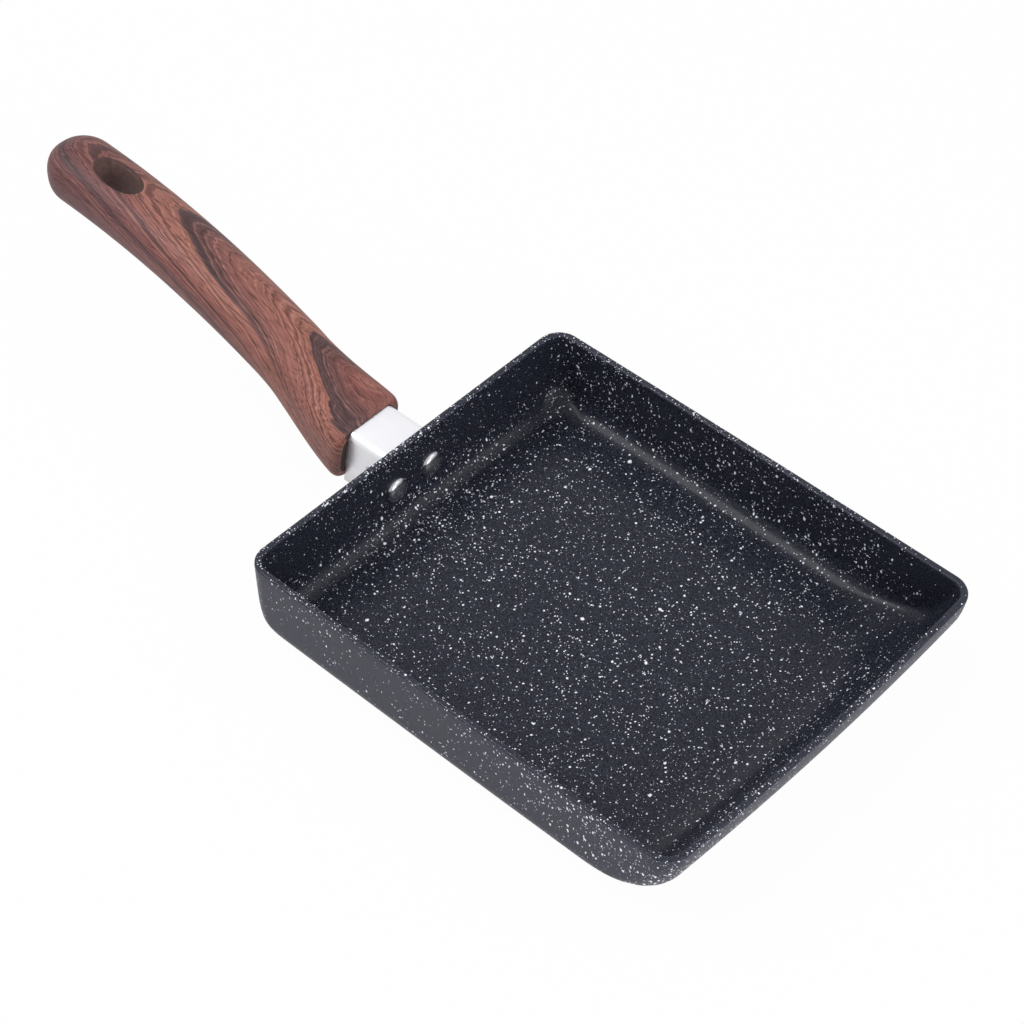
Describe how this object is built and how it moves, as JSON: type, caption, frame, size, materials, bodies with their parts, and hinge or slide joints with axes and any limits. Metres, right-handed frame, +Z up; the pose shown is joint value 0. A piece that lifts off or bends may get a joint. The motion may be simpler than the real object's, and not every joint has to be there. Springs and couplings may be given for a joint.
{
  "type": "tamagoyaki pan",
  "caption": "Rectangular rolled-omelette pan with a speckled non-stick coat, a sloped far end, a riveted metal neck and a wood-look handle with a hanging hole.",
  "frame": {"origin": "on the underside of the base, straight below the middle of the rim", "axes": "+X along the pan, from the handle to the far end; +Y across the pan; +Z up"},
  "size_m": [0.3539, 0.1504, 0.0692],
  "materials": {
    "nonstick_coat": "matt black-blue stone-look coating with pale specks",
    "rivet_metal": "polished",
    "bracket_steel": "bright satin",
    "wood_look": "printed rosewood grain under a soft satin lacquer",
    "fastener_steel": "zinc plated"
  },
  "bodies": {
    "root": {"pan_body": "nonstick_coat", "rivet_left": "rivet_metal", "rivet_right": "rivet_metal", "handle_bracket": "bracket_steel", "handle": "wood_look", "handle_screw": "fastener_steel", "spring_washer": "fastener_steel", "weld_nut": "fastener_steel"}
  },
  "joints": []
}
